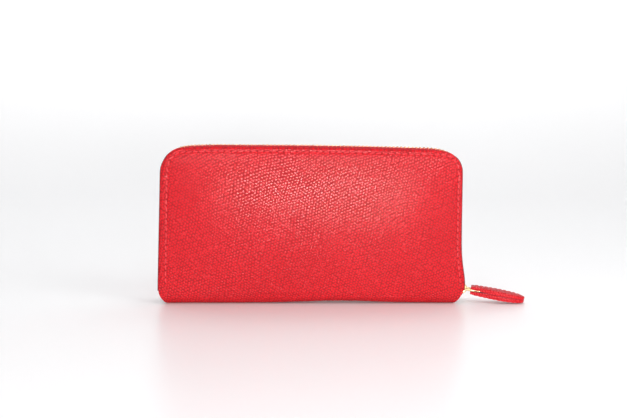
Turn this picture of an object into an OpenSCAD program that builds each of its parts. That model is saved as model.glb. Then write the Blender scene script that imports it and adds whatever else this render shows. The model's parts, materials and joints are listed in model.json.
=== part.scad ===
// Zip-around long wallet, standing closed on its spine. All sizes are in millimetres.
// X runs along the spine, Y through the thickness with the front cover at -Y, and Z is up.
// The origin is the centre of the spine's flat underside.

/* [Wallet] */
// Length of the covers, along the spine
wallet_length = 195; // [165:1:234]
// Height from the spine's underside to the top edge of the covers
wallet_height = 101; // [84:1:125]
// Radius of the covers' upper corners
corner_r = 14; // [8:0.5:24]
// Height of the narrowed part of a cover's ends, above the cover's lower edge
taper_rise = 2; // [1:0.5:5]
// How far each end of a cover is drawn in at its lower edge
taper_depth = 1; // [0.5:0.5:3]

/* [Layers, from the middle outwards] */
// Clear space inside the coin pocket
coin_space = 4.4; // [4.3:0.1:9]
// Thickness of a coin pocket wall
coin_wall = 0.7; // [0.4:0.1:1.2]
// Clear depth of each bill compartment
bill_space = 4.4; // [4.3:0.1:12]
// Thickness of one card strip
card_strip_t = 0.55; // [0.4:0.05:1]
// Thickness of the slip pocket behind the card strips
slip_pocket_t = 0.5; // [0.3:0.1:1]
// Thickness of the lining
lining_t = 0.3; // [0.2:0.05:0.8]
// Thickness of the stiffening board
board_t = 0.9; // [0.7:0.1:2]
// Thickness of the outer leather
leather_t = 1.3; // [1:0.1:2.5]

/* [Spine] */
// How far each end of the spine's underside stops short of the covers' ends
spine_end_inset = 6.5; // [3:0.5:10]
// Straight height of the spine's side walls above its rounded edges
spine_wall_rise = 2; // [1:0.5:4]
// Open fold between the spine and each cover
fold_gap = 0.5; // [0.3:0.1:1.5]
// Inner radius of the spine's long edges
spine_inner_r = 4.7; // [2.5:0.1:6]

/* [Main zip] */
// Distance from the covers' edge in to the middle of the zip tape
zip_inset = 0.3; // [0.3:0.1:2]
// Thickness of the zip tape
tape_t = 0.6; // [0.4:0.1:1]
// Spacing of the teeth along one tape
tooth_pitch = 2.5; // [2:0.1:4]
// Width of a tooth along the tape
tooth_w = 1.1; // [0.7:0.1:1.9]
// Thickness of a tooth across the tape
tooth_t = 2.4; // [1.6:0.1:3]
// How far a tooth reaches past the middle between the tapes
tooth_reach = 0.7; // [0.3:0.1:1.2]
// Half-width of the closed row of teeth
chain_half_w = 2.6; // [2.2:0.1:3.5]

/* [Slider and pull] */
// Length of the slider along the zip
slider_length = 9; // [7:0.5:12]
// How far the slider's lower end passes the end of the tape, with the zip closed
slider_overrun = 2.5; // [1.5:0.1:3]
// Thickness of each slider plate
slider_plate_t = 1.1; // [0.8:0.1:1.6]
// Thickness of the crown's arch
crown_t = 1.2; // [1:0.1:1.3]
// Width of the crown
crown_w = 2.6; // [1.6:0.1:3.4]
// Width of each arm of the metal link
link_arm = 1.8; // [1.2:0.1:2.4]
// Length of the metal link from its pivot
link_length = 14; // [12:0.5:20]
// Thickness of the metal link
link_t = 1.2; // [1:0.1:1.3]
// Length of the pull tab from the pivot to its tip
tab_length = 40; // [30:0.5:50]
// Width of the pull tab
tab_w = 14; // [12:0.5:18]
// Thickness of each of the two leather layers of the pull tab
tab_layer_t = 2.2; // [1.3:0.1:2.6]
// Angle at which the pull stands out of the zip's plane, towards the front
pull_swing = 12; // [0:1:12]

/* [Interior] */
// Height of the pockets and gussets above the covers' lower edge
pocket_rise = 2.5; // [2:0.5:6]
// Distance from the covers' edge in to the ends of the card strips
pocket_inset = 11.5; // [9:0.5:20]
// Step in height from one card strip to the next
strip_step = 10; // [8:0.5:12]
// Distance from the covers' top edge down to the tallest card strip
strip_drop = 17; // [14:0.5:24]
// Distance from the covers' top edge down to the top of the coin pocket
coin_drop = 25; // [23:1:35]
// Distance from the covers' edge in to the coin pocket's ends
coin_inset = 12.5; // [10:0.5:20]
// Depth of the gusset pleat at its top
gusset_depth = 28; // [14:1:36]
// Thickness of the gusset fabric
gusset_t = 0.5; // [0.3:0.1:0.8]

/* [Coin zip] */
// Spacing of the coin zip's teeth along one tape
coin_tooth_pitch = 2; // [1.6:0.1:3]
// Width of a coin zip tooth along the tape
coin_tooth_w = 0.85; // [0.6:0.05:1.2]
// Length of the coin zip's slider
coin_slider_length = 7; // [6.5:0.5:9]
// Length of the coin zip's metal pull
coin_pull_length = 13; // [9:0.5:15]

/* [Stitching] */
// Distance from the covers' edge in to the stitch line
stitch_inset = 3.6; // [3:0.1:6]
// Spacing of the stitches
stitch_pitch = 4.2; // [3:0.1:6]
// Length of one stitch
stitch_length = 3; // [1.5:0.1:3.5]
// Thickness of the thread
thread_d = 0.6; // [0.4:0.1:1]
// Depth of the groove that the stitches lie in
groove_depth = 0.3; // [0.2:0.05:0.6]

/* [Hidden] */
$fn = 48;

// Number of card strips on each cover, one node each
card_strips = 4;
// Gap left between pieces that slide or swing past each other
running_gap = 0.3;
// Small gap between pieces that lie side by side
lay_gap = 0.1;
// Overshoot of a cutting shape past the face that it cuts
cut = 1;

// Distances of the layers' faces from the middle plane
y_coin_in = coin_space / 2;
y_coin_out = y_coin_in + coin_wall;
y_cards = y_coin_out + bill_space;
y_slip = y_cards + card_strips * card_strip_t;
y_lining = y_slip + slip_pocket_t;
y_board = y_lining + lining_t;
y_leather = y_board + board_t;
y_outer = y_leather + leather_t;

// Covers
half_length = wallet_length / 2;
spine_board_top = leather_t + board_t;
spine_top = spine_board_top + lining_t;
spine_edge_r = leather_t + spine_inner_r;
spine_wall_h = spine_edge_r + spine_wall_rise;
cover_bottom = spine_wall_h + fold_gap;
taper_height = cover_bottom + taper_rise;
cover_low_half = half_length - taper_depth;
corner_x = half_length - corner_r;
corner_z = wallet_height - corner_r;
turned_edge = 2.2;
board_bottom = cover_bottom + turned_edge;
stitch_bottom = cover_bottom + 2.5;
pocket_bottom = cover_bottom + pocket_rise;
pocket_half_length = half_length - pocket_inset;
slip_top = wallet_height - strip_drop + 4;

// Spine
spine_half_length = half_length - spine_end_inset;
spine_flat = y_outer - spine_edge_r;
spine_lining_half = spine_flat + sqrt(pow(spine_inner_r, 2) - pow(spine_inner_r - board_t, 2)) - lay_gap;
end_tab_t = 0.9;
end_tab_length = 4.5;

// Main zip
tape_bottom = cover_bottom - 2;
tape_edge = 1.4;
slot_half = tape_t / 2 + 0.05;
stop_length = 1.4;
stop_gap = 0.2;
teeth_start = stop_gap + stop_length + 0.6;
zip_x = half_length - zip_inset;

// Slider
slider_half_w = chain_half_w + 1.7;
plate_in = tooth_t / 2 + running_gap;
plate_out = plate_in + slider_plate_t;
flange_in = tape_t / 2 + running_gap;
flange_half_w = chain_half_w + 0.5;
post_half_w = 0.75;
post_length = 2.6;
slider_mid = tape_bottom - slider_overrun + slider_length / 2;
crown_r = slider_length / 2 - 0.5;
crown_x = zip_x + plate_out;
crown_hole_r = crown_r - crown_t;
pivot_reach = 0.6 * crown_hole_r;
pivot_x = crown_x + pivot_reach;
pivot_z = slider_mid;

// Pull: its tip rests on the floor
tab_start = norm([crown_r, pivot_reach]) + running_gap;
tab_neck = tab_start + 8;
link_side_gap = 1.1;
link_w = crown_w + 2 * (link_side_gap + link_arm);
tab_neck_w = link_w + 0.6;
pull_tilt = asin(pivot_z / norm([tab_length, tab_layer_t])) - atan2(tab_layer_t, tab_length);

// Pull tab's stitch line
tab_stitch_inset = 1.7;
tab_stitch_pitch = 3.4;
tab_stitch_scale = 0.8;
tab_tip_x = tab_length - tab_w / 2;
tab_stitch_half_w = tab_w / 2 - tab_stitch_inset;
tab_straight = tab_tip_x - tab_neck;
tab_arc = PI * tab_stitch_half_w;

// Coin pocket
coin_top = wallet_height - coin_drop;
coin_half_length = half_length - coin_inset;
coin_floor_t = coin_wall;
coin_floor_top = spine_top + coin_floor_t;
coin_tape_t = 0.5;
coin_tape_edge = 0.8;
coin_tooth_t = 1.8;
coin_tooth_reach = 0.4;
coin_chain_half_w = 1.3;
coin_zip_z = coin_top + coin_tape_t / 2;
coin_zip_half_length = coin_half_length - 4;
coin_stop_w = 1.2;
coin_plate_t = 0.9;
coin_plate_gap = 0.25;
coin_slider_x = coin_zip_half_length - coin_stop_w - running_gap - coin_slider_length / 2;
coin_crown_r = 3;
coin_crown_hole_r = 2;
coin_plate_top = coin_zip_z + coin_tooth_t / 2 + coin_plate_gap + coin_plate_t;
coin_pivot_z = coin_plate_top + coin_crown_hole_r / 2;
coin_bar_r = 0.5;

// Gussets
gusset_edge = coin_half_length + 5;
gusset_top = coin_top;
gusset_foot = 4;

leather_red = [0.80, 0.10, 0.13];
lining_red = [0.62, 0.07, 0.10];
tape_red = [0.70, 0.08, 0.11];
thread_red = [0.86, 0.20, 0.22];
board_grey = [0.55, 0.52, 0.48];
brass = [0.86, 0.68, 0.34];

// Draws its children on the back half, or mirrored on the front half
module on_side(side) {
    if (side < 0) mirror([0, 1, 0]) children();
    else children();
}

// Draws its children at the right end, or mirrored at the left end
module at_end(side) {
    if (side < 0) mirror([1, 0, 0]) children();
    else children();
}

// An upright plate: a flat outline in X and Z, from y0 outwards by t
module plate(y0, t) {
    translate([0, y0 + t, 0]) rotate([90, 0, 0]) linear_extrude(height = t) children();
}

// A rectangular block from its lowest corner to its highest corner
module block(low, high) {
    translate(low) cube(high - low);
}

// Straight-ended outline with round upper corners, drawn in by inset and level at the height bottom
module rim_outline(inset, bottom) {
    end_x = half_length - inset;
    polygon([
        [-end_x, bottom], [end_x, bottom], [end_x, corner_z], [corner_x, wallet_height - inset],
        [-corner_x, wallet_height - inset], [-end_x, corner_z]
    ]);
    for (x = [-corner_x, corner_x]) translate([x, corner_z]) circle(corner_r - inset);
}

// Outline of a cover, which narrows towards its lower edge
module cover_outline() {
    rim_outline(0, taper_height);
    polygon([
        [-cover_low_half, cover_bottom], [cover_low_half, cover_bottom],
        [half_length, taper_height], [-half_length, taper_height]
    ]);
}

// A band along the ends and the top of a cover, between two distances from its edge
module rim_band(inset_out, inset_in, bottom) {
    difference() {
        rim_outline(inset_out, bottom);
        rim_outline(inset_in, bottom - cut);
    }
}

// Lengths along the line that runs up the left end, over the top and down the right end
function side_run(start) = corner_z - start;
function arc_run(inset) = (corner_r - inset) * PI / 2;
function top_run() = 2 * corner_x;
function rim_run(inset, start) = 2 * side_run(start) + 2 * arc_run(inset) + top_run();

// Place on that line at the distance s: [x, z, heading in degrees]
function rim_place(s, inset, start) =
    let (r = corner_r - inset,
         s1 = side_run(start),
         s2 = s1 + arc_run(inset),
         s3 = s2 + top_run(),
         s4 = s3 + arc_run(inset),
         turn_left = 180 - (s - s1) / r * 180 / PI,
         turn_right = 90 - (s - s3) / r * 180 / PI)
    s < s1 ? [-half_length + inset, start + s, 90]
    : s < s2 ? [-corner_x + r * cos(turn_left), corner_z + r * sin(turn_left), turn_left - 90]
    : s < s3 ? [-corner_x + s - s2, wallet_height - inset, 0]
    : s < s4 ? [corner_x + r * cos(turn_right), corner_z + r * sin(turn_right), turn_right - 90]
    : [half_length - inset, corner_z - (s - s4), -90];

// Puts its children on the line, with X along it and Z pointing out of the wallet
module on_rim(s, inset, start) {
    place = rim_place(s, inset, start);
    translate([place[0], 0, place[1]]) rotate([0, -place[2], 0]) children();
}

// One zip tooth: a head past the middle and two legs that clamp the edge of the tape
module tooth(reach, edge, half_w, thick, slot, width) {
    rotate([90, 0, 90]) translate([0, 0, -width / 2]) linear_extrude(height = width) polygon([
        [-reach, -thick / 2], [half_w, -thick / 2], [half_w, -slot], [edge, -slot],
        [edge, slot], [half_w, slot], [half_w, thick / 2], [-reach, thick / 2]
    ]);
}

// A half ring in the XZ plane that bulges to +X
module crown_arch(outer_r, inner_r, width) {
    rotate([90, 0, 0]) translate([0, 0, -width / 2]) linear_extrude(height = width) difference() {
        circle(outer_r);
        circle(inner_r);
        translate([-2 * outer_r, -2 * outer_r]) square([2 * outer_r, 4 * outer_r]);
    }
}

// A short stitch, lying flat with its round ends along X
module stitch_shape() {
    reach = (stitch_length - thread_d) / 2;
    translate([-reach, -thread_d / 2]) square([2 * reach, thread_d]);
    for (x = [-reach, reach]) translate([x, 0]) circle(thread_d / 2, $fn = 16);
}

// ---- Spine ----

module spine_section() {
    difference() {
        union() {
            translate([-spine_flat, 0]) square([2 * spine_flat, spine_wall_h]);
            translate([-y_outer, spine_edge_r]) square([2 * y_outer, spine_wall_rise]);
            for (y = [-spine_flat, spine_flat]) translate([y, spine_edge_r]) circle(spine_edge_r);
        }
        translate([-spine_flat, leather_t]) square([2 * spine_flat, spine_wall_h]);
        translate([-y_leather, spine_edge_r]) square([2 * y_leather, spine_wall_h]);
        for (y = [-spine_flat, spine_flat]) translate([y, spine_edge_r]) circle(spine_inner_r);
        translate([-y_outer - cut, spine_wall_h]) square([2 * y_outer + 2 * cut, 2 * spine_edge_r]);
    }
}

// The leather is longer at the top of its walls than along its underside
module spine_leather() {
    color(leather_red) intersection() {
        translate([-half_length, 0, 0]) rotate([90, 0, 90]) linear_extrude(height = wallet_length)
            spine_section();
        plate(-y_outer - cut, 2 * (y_outer + cut)) polygon([
            [-spine_half_length, 0], [spine_half_length, 0],
            [cover_low_half, spine_wall_h], [-cover_low_half, spine_wall_h]
        ]);
    }
}

module spine_board() {
    color(board_grey) block([-spine_half_length, -spine_flat + lay_gap, leather_t],
                            [spine_half_length, spine_flat - lay_gap, spine_board_top]);
}

module spine_lining() {
    color(lining_red) block([-spine_half_length, -spine_lining_half, spine_board_top],
                            [spine_half_length, spine_lining_half, spine_top]);
}

// Leather tab at the end of the spine, over the turned-in end of the zip
module zip_end_tab(side) {
    color(leather_red) at_end(side)
        block([spine_half_length - end_tab_length, -spine_lining_half, spine_top],
              [spine_half_length, spine_lining_half, spine_top + end_tab_t]);
}

module zip_end_tab_left() { zip_end_tab(-1); }
module zip_end_tab_right() { zip_end_tab(1); }

// ---- Coin pocket ----

module coin_pocket_wall(side) {
    color(lining_red) on_side(side)
        block([-coin_half_length, y_coin_in, coin_floor_top], [coin_half_length, y_coin_out, coin_top]);
}

module coin_pocket_front_wall() { coin_pocket_wall(-1); }
module coin_pocket_back_wall() { coin_pocket_wall(1); }

module coin_pocket_floor() {
    color(lining_red) block([-coin_half_length, -y_coin_out, spine_top],
                            [coin_half_length, y_coin_out, coin_floor_top]);
}

module coin_pocket_end(side) {
    color(lining_red) at_end(side)
        block([coin_half_length - coin_wall, -y_coin_in, coin_floor_top],
              [coin_half_length, y_coin_in, coin_top]);
}

module coin_pocket_left_end() { coin_pocket_end(-1); }
module coin_pocket_right_end() { coin_pocket_end(1); }

module coin_zip_tape(side) {
    color(tape_red) on_side(side)
        block([-coin_half_length, coin_tape_edge, coin_top],
              [coin_half_length, y_coin_out, coin_top + coin_tape_t]);
}

module coin_zip_front_tape() { coin_zip_tape(-1); }
module coin_zip_back_tape() { coin_zip_tape(1); }

// Teeth from the left stops to the slider's post, shifted by half a pitch on one side
module coin_zip_teeth(side) {
    first = -coin_zip_half_length + coin_stop_w + coin_tooth_pitch;
    last = coin_slider_x + coin_slider_length / 2 - 3;
    shift = side > 0 ? 0 : coin_tooth_pitch / 2;
    color(brass) on_side(side)
        for (x = [first + shift : coin_tooth_pitch : last]) translate([x, 0, coin_zip_z])
            tooth(coin_tooth_reach, coin_tape_edge, coin_chain_half_w, coin_tooth_t,
                  coin_tape_t / 2 + 0.05, coin_tooth_w);
}

module coin_zip_front_teeth() { coin_zip_teeth(-1); }
module coin_zip_back_teeth() { coin_zip_teeth(1); }

module coin_zip_stops() {
    color(brass) for (end = [-1, 1], side = [-1, 1])
        at_end(end) on_side(side) translate([coin_zip_half_length - coin_stop_w / 2, 0, coin_zip_z])
            tooth(-coin_tooth_reach, coin_tape_edge, coin_chain_half_w, coin_tooth_t,
                  coin_tape_t / 2 + 0.05, coin_stop_w);
}

module coin_slider() {
    half = coin_slider_length / 2;
    gap_z = coin_tooth_t / 2 + coin_plate_gap;
    lower_half_w = y_coin_in - running_gap;
    upper_half_w = y_coin_out - 0.5;
    post_half = 0.45;
    color(brass) translate([coin_slider_x, 0, 0]) {
        block([-half, -lower_half_w, coin_zip_z - gap_z - coin_plate_t],
              [half, lower_half_w, coin_zip_z - gap_z]);
        block([-half, -upper_half_w, coin_zip_z + gap_z], [half, upper_half_w, coin_plate_top]);
        for (side = [-1, 1]) on_side(side)
            block([-half, coin_chain_half_w + 0.3, coin_zip_z + coin_tape_t / 2 + coin_plate_gap],
                  [half, upper_half_w, coin_plate_top]);
        block([half - 2.2, -post_half, coin_zip_z - gap_z - coin_plate_t],
              [half - 0.6, post_half, coin_plate_top]);
        translate([0, 0, coin_plate_top]) rotate([0, -90, 0])
            crown_arch(coin_crown_r, coin_crown_hole_r, 1.8);
    }
}

// Flat metal pull, lying back along the coin zip
module coin_pull() {
    half_w = 2.1;
    inner_half_w = 1.2;
    color(brass) translate([coin_slider_x, 0, coin_pivot_z]) {
        rotate([90, 0, 0]) translate([0, 0, -half_w]) cylinder(h = 2 * half_w, r = coin_bar_r);
        difference() {
            block([-coin_pull_length, -half_w, -coin_bar_r], [0, half_w, coin_bar_r]);
            block([-6, -inner_half_w, -cut], [cut, inner_half_w, cut]);
            translate([-coin_pull_length + 2.4, 0, -cut]) cylinder(h = 2 * cut, r = 1);
        }
    }
}

// ---- Gussets ----

// A pleat of two leaves joined by a sloping fold, between the coin pocket and a cover
module gusset(end, side) {
    foot_x = gusset_edge - gusset_foot;
    top_x = gusset_edge - gusset_depth;
    pleat_w = bill_space - lay_gap;
    color(lining_red) at_end(end) on_side(side) {
        for (y = [y_coin_out, y_coin_out + pleat_w - gusset_t]) plate(y, gusset_t)
            polygon([[foot_x, pocket_bottom], [gusset_edge, pocket_bottom],
                     [gusset_edge, gusset_top], [top_x, gusset_top]]);
        plate(y_coin_out, pleat_w)
            polygon([[foot_x, pocket_bottom], [foot_x + gusset_t, pocket_bottom],
                     [top_x + gusset_t, gusset_top], [top_x, gusset_top]]);
    }
}

module gusset_front_left() { gusset(-1, -1); }
module gusset_front_right() { gusset(1, -1); }
module gusset_back_left() { gusset(-1, 1); }
module gusset_back_right() { gusset(1, 1); }

// ---- Covers ----

// Outer leather with its edge turned in round the board, and a groove for the stitches
module cover_leather(side) {
    color(leather_red) on_side(side) difference() {
        plate(y_board, board_t + leather_t) cover_outline();
        plate(y_board - cut, board_t + cut) rim_outline(turned_edge, board_bottom);
        plate(y_outer - groove_depth, groove_depth + cut)
            rim_band(stitch_inset - thread_d / 2 - 0.1, stitch_inset + thread_d / 2 + 0.1, stitch_bottom);
    }
}

module cover_board(side) {
    color(board_grey) on_side(side) plate(y_board, board_t) rim_outline(turned_edge, board_bottom);
}

module cover_lining(side) {
    color(lining_red) on_side(side) plate(y_lining, lining_t) cover_outline();
}

module slip_pocket(side) {
    color(lining_red) on_side(side)
        block([-pocket_half_length - 2, y_slip, pocket_bottom],
              [pocket_half_length + 2, y_lining, slip_top]);
}

// Card strips from the tallest, next to the cover, to the lowest, next to the notes
module card_strip(side, number) {
    y = y_slip - number * card_strip_t;
    top = wallet_height - strip_drop - (number - 1) * strip_step;
    color(leather_red) on_side(side)
        block([-pocket_half_length, y, pocket_bottom], [pocket_half_length, y + card_strip_t, top]);
}

module zip_tape(side) {
    color(tape_red) on_side(side) plate(tape_edge, y_lining - tape_edge)
        rim_band(zip_inset - tape_t / 2, zip_inset + tape_t / 2, tape_bottom);
}

// Teeth along one tape, one fewer on the front side, which mesh with the gaps of the back side
module zip_teeth(side) {
    run = rim_run(zip_inset, tape_bottom);
    spaces = floor((run - 2 * teeth_start) / tooth_pitch) - (side > 0 ? 0 : 1);
    first = (run - spaces * tooth_pitch) / 2;
    color(brass) on_side(side) for (i = [0 : spaces])
        on_rim(first + i * tooth_pitch, zip_inset, tape_bottom)
            tooth(tooth_reach, tape_edge, chain_half_w, tooth_t, slot_half, tooth_w);
}

// Metal stop at the left end of a tape, where the slider comes to rest when the zip is open
module zip_stop(side) {
    color(brass) on_side(side) on_rim(stop_gap + stop_length / 2, zip_inset, tape_bottom)
        tooth(-tape_edge + 0.4, tape_edge, chain_half_w, tooth_t, slot_half, stop_length);
}

module stitching(side) {
    run = rim_run(stitch_inset, stitch_bottom);
    count = floor(run / stitch_pitch);
    first = (run - (count - 1) * stitch_pitch) / 2;
    color(thread_red) on_side(side) for (i = [0 : count - 1])
        on_rim(first + i * stitch_pitch, stitch_inset, stitch_bottom)
            plate(y_outer - groove_depth, groove_depth) stitch_shape();
}

module front_cover_leather() { cover_leather(-1); }
module front_cover_board() { cover_board(-1); }
module front_cover_lining() { cover_lining(-1); }
module front_slip_pocket() { slip_pocket(-1); }
module front_card_strip_1() { card_strip(-1, 1); }
module front_card_strip_2() { card_strip(-1, 2); }
module front_card_strip_3() { card_strip(-1, 3); }
module front_card_strip_4() { card_strip(-1, 4); }
module front_zip_tape() { zip_tape(-1); }
module front_zip_teeth() { zip_teeth(-1); }
module front_zip_stop() { zip_stop(-1); }
module front_stitching() { stitching(-1); }

module back_cover_leather() { cover_leather(1); }
module back_cover_board() { cover_board(1); }
module back_cover_lining() { cover_lining(1); }
module back_slip_pocket() { slip_pocket(1); }
module back_card_strip_1() { card_strip(1, 1); }
module back_card_strip_2() { card_strip(1, 2); }
module back_card_strip_3() { card_strip(1, 3); }
module back_card_strip_4() { card_strip(1, 4); }
module back_zip_tape() { zip_tape(1); }
module back_zip_teeth() { zip_teeth(1); }
module back_zip_stop() { zip_stop(1); }
module back_stitching() { stitching(1); }

// ---- Slider and pull ----

// Outline of a slider plate, in Y and Z, wider at its lower end
module slider_outline(half_w) {
    half = slider_length / 2;
    waist = 0.8;
    polygon([
        [-half_w + waist, -half], [half_w - waist, -half], [half_w, -half + waist], [half_w, 0],
        [half_w - waist / 2, half - waist], [half_w - 2 * waist, half],
        [-half_w + 2 * waist, half], [-half_w + waist / 2, half - waist], [-half_w, 0],
        [-half_w, -half + waist]
    ]);
}

// A plate of the slider, from x0 to x1 measured from the middle of the zip tape
module slider_plate(x0, x1) {
    translate([x0, 0, 0]) rotate([90, 0, 90]) linear_extrude(height = x1 - x0) children();
}

module slider_flanges() {
    difference() {
        slider_outline(slider_half_w);
        translate([-flange_half_w, -slider_length]) square([2 * flange_half_w, 2 * slider_length]);
    }
}

module slider_body() {
    nose = -slider_length / 2;
    color(brass) translate([zip_x, 0, slider_mid]) {
        slider_plate(plate_in, plate_out) slider_outline(slider_half_w);
        slider_plate(-plate_out, -plate_in) slider_outline(slider_half_w);
        slider_plate(flange_in, plate_in) slider_flanges();
        slider_plate(-plate_in, -flange_in) slider_flanges();
        slider_plate(-plate_in, plate_in) polygon([
            [0, nose + 0.5], [post_half_w, nose + 0.5 + post_length / 2], [0, nose + 0.5 + post_length],
            [-post_half_w, nose + 0.5 + post_length / 2]
        ]);
    }
}

module slider_crown() {
    color(brass) translate([crown_x, 0, slider_mid]) crown_arch(crown_r, crown_hole_r, crown_w);
}

// Puts its children at the pivot in the crown, with X along the pull and Z out of its upper face
module on_pull() {
    translate([pivot_x, 0, pivot_z]) rotate([0, 0, -pull_swing]) rotate([0, pull_tilt, 0]) children();
}

// Outline of the pull tab, narrow at the crown and round at its tip
module tab_outline(inset) {
    neck = tab_neck_w / 2 - inset;
    wide = tab_w / 2 - inset;
    translate([tab_tip_x, 0]) circle(wide);
    polygon([[tab_start + inset, -neck], [tab_neck, -wide], [tab_tip_x, -wide],
             [tab_tip_x, wide], [tab_neck, wide], [tab_start + inset, neck]]);
}

// Metal link: a window that straddles the crown, and a plate held between the leather layers
module pull_link() {
    half_w = link_w / 2;
    bar_r = link_t / 2;
    color(brass) on_pull() {
        rotate([90, 0, 0]) translate([0, 0, -half_w]) cylinder(h = link_w, r = bar_r);
        difference() {
            block([0, -half_w, -bar_r], [link_length, half_w, bar_r]);
            block([-cut, -half_w + link_arm, -link_t], [tab_start + 3, half_w - link_arm, link_t]);
        }
    }
}

// One leather layer of the pull tab, with half of the recess for the link
module tab_layer(side) {
    recess = link_t / 2;
    rise = side > 0 ? 0 : -tab_layer_t;
    color(leather_red) on_pull() difference() {
        translate([0, 0, rise]) linear_extrude(height = tab_layer_t) tab_outline(0);
        block([0, -tab_w, -recess], [tab_neck, tab_w, recess]);
        block([0, -link_w / 2 - lay_gap, -recess], [link_length + lay_gap, link_w / 2 + lay_gap, recess]);
        tab_grooves();
    }
}

module pull_tab_upper() { tab_layer(1); }
module pull_tab_lower() { tab_layer(-1); }

// Place along the pull tab's stitch line, up one edge, round the tip and back: [x, y, heading]
function tab_place(s) =
    let (turn = 90 - (s - tab_straight) / tab_stitch_half_w * 180 / PI)
    s < tab_straight ? [tab_neck + s, tab_stitch_half_w, 0]
    : s < tab_straight + tab_arc
        ? [tab_tip_x + tab_stitch_half_w * cos(turn), tab_stitch_half_w * sin(turn), turn - 90]
    : [tab_tip_x - (s - tab_straight - tab_arc), -tab_stitch_half_w, 180];

module tab_grooves() {
    half = thread_d / 2 + 0.1;
    for (side = [-1, 1]) translate([0, 0, side * tab_layer_t - groove_depth])
        linear_extrude(height = 2 * groove_depth) difference() {
            union() {
                translate([tab_tip_x, 0]) circle(tab_stitch_half_w + half);
                translate([tab_neck - 1, -tab_stitch_half_w - half])
                    square([tab_straight + 1, 2 * (tab_stitch_half_w + half)]);
            }
            translate([tab_tip_x, 0]) circle(tab_stitch_half_w - half);
            translate([tab_neck - 2, -tab_stitch_half_w + half])
                square([tab_straight + 2, 2 * (tab_stitch_half_w - half)]);
        }
}

module pull_tab_stitching() {
    run = 2 * tab_straight + tab_arc;
    count = floor(run / tab_stitch_pitch);
    first = (run - (count - 1) * tab_stitch_pitch) / 2;
    color(thread_red) on_pull() for (side = [-1, 1], i = [0 : count - 1]) {
        place = tab_place(first + i * tab_stitch_pitch);
        z = side > 0 ? tab_layer_t - groove_depth : -tab_layer_t;
        translate([place[0], place[1], z]) rotate([0, 0, place[2]])
            linear_extrude(height = groove_depth) scale(tab_stitch_scale) stitch_shape();
    }
}

spine_leather();
spine_board();
spine_lining();
zip_end_tab_left();
zip_end_tab_right();
coin_pocket_front_wall();
coin_pocket_back_wall();
coin_pocket_floor();
coin_pocket_left_end();
coin_pocket_right_end();
coin_zip_front_tape();
coin_zip_back_tape();
coin_zip_front_teeth();
coin_zip_back_teeth();
coin_zip_stops();
coin_slider();
coin_pull();
gusset_front_left();
gusset_front_right();
gusset_back_left();
gusset_back_right();
front_cover_leather();
front_cover_board();
front_cover_lining();
front_slip_pocket();
front_card_strip_1();
front_card_strip_2();
front_card_strip_3();
front_card_strip_4();
front_zip_tape();
front_zip_teeth();
front_zip_stop();
front_stitching();
back_cover_leather();
back_cover_board();
back_cover_lining();
back_slip_pocket();
back_card_strip_1();
back_card_strip_2();
back_card_strip_3();
back_card_strip_4();
back_zip_tape();
back_zip_teeth();
back_zip_stop();
back_stitching();
slider_body();
slider_crown();
pull_link();
pull_tab_upper();
pull_tab_lower();
pull_tab_stitching();
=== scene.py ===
import json
import math

import bpy
from mathutils import Matrix, Quaternion, Vector


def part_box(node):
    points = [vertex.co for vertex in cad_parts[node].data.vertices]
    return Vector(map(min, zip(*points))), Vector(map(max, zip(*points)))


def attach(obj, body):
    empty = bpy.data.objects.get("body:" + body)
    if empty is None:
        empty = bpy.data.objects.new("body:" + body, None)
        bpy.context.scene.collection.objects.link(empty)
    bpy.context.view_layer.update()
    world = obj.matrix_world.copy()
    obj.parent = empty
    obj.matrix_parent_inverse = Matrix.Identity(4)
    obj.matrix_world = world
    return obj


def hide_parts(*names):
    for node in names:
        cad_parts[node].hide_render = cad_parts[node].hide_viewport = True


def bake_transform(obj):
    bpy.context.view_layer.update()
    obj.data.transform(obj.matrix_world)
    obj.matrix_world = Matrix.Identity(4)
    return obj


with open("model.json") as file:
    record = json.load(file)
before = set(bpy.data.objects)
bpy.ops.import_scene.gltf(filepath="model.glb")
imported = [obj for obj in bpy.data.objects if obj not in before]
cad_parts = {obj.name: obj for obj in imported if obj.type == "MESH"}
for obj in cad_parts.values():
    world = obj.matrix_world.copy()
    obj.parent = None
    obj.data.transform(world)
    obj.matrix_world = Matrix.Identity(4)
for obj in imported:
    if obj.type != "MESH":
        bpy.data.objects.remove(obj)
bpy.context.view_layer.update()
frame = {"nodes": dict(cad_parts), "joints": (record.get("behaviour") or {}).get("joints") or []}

# ---- Sizes in metres: from the frame where it has them ----

MM = 0.001
FRONT, BACK = -1, 1
SIDES = {"front": FRONT, "back": BACK}
LEFT, RIGHT = -1, 1

leather_low, leather_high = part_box("back_cover_leather")
HALF_LENGTH = leather_high.x
TOP = leather_high.z
COVER_BOTTOM = leather_low.z
OUTER = leather_high.y
BOARD_FACE = leather_low.y
LINING_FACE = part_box("back_cover_lining")[0].y
CORNER_R = 14 * MM
CORNER_X = HALF_LENGTH - CORNER_R
CORNER_Z = TOP - CORNER_R
LEATHER = 1.2 * MM

SPINE_EDGE_R = 6 * MM
SPINE_FLAT = OUTER - SPINE_EDGE_R
SPINE_DRAW_IN = 3.6 * MM
SPINE_DRAW_HEIGHT = 10.5 * MM
SPINE_DRAW_POWER = 2.2

TAPE_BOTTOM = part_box("back_zip_tape")[0].z
TAPE_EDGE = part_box("back_zip_tape")[0].y
ZIP_INSET = 0.3 * MM
TAPE_T = 0.5 * MM
TOOTH_PITCH = 2.5 * MM
TOOTHLESS_END = 4.4 * MM
CHAIN_DOME = 0.9 * MM
CHAIN_STEP = 0.7 * MM
CHAIN_SUNK = 0.6 * MM
BEAD_R = 0.6 * MM
STITCH_INSET = 3.6 * MM
STITCH_PITCH = 4.2 * MM
STITCH_BOTTOM = COVER_BOTTOM + 2.5 * MM
STITCH_SLANT = math.radians(6)
SEAM_ASIDE = 0.9 * MM
SEAM_UP = 0.8 * MM

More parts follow.
